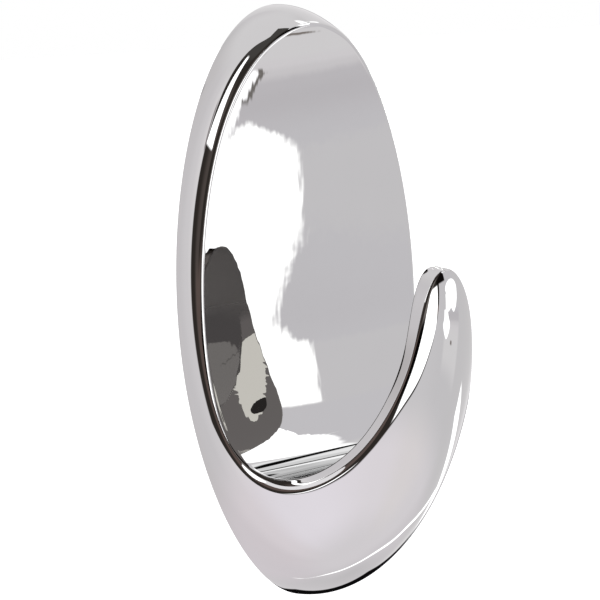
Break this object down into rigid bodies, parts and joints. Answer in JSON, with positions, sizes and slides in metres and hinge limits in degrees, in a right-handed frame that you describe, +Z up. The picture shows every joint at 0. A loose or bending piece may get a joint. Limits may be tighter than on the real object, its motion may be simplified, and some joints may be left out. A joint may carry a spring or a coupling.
{
  "type": "adhesive hook",
  "caption": "Bright oval wall hook with a scooped front and a rounded upturned tongue, sliding on a base held by a pull-tab adhesive strip.",
  "frame": {"origin": "centre of the adhesive pad, on the wall", "axes": "+Y into the wall, +Z up along the oval, +X to the right of someone facing the hook"},
  "size_m": [0.0412, 0.0308, 0.08],
  "materials": {
    "bright_plating": "mirror-bright plating with fine handling marks",
    "base_plastic": "satin moulded white",
    "foam": "soft white foam",
    "adhesive_wall": "tacky, slightly shiny",
    "adhesive_base": "tacky, slightly shiny",
    "film_wall": "thin milky film",
    "film_front": "thin milky film"
  },
  "bodies": {
    "base": {"mounting_base": "base_plastic", "strip_foam": "foam", "strip_adhesive_wall": "adhesive_wall", "strip_adhesive_base": "adhesive_base", "tab_film_wall": "film_wall", "tab_film_front": "film_front"},
    "hook": {"hook_body": "bright_plating"}
  },
  "joints": [
    {"name": "hook_slide", "type": "slide", "parent": "base", "child": "hook", "axis": [0, 0, 1], "range_m": [0, 0.013]}
  ]
}
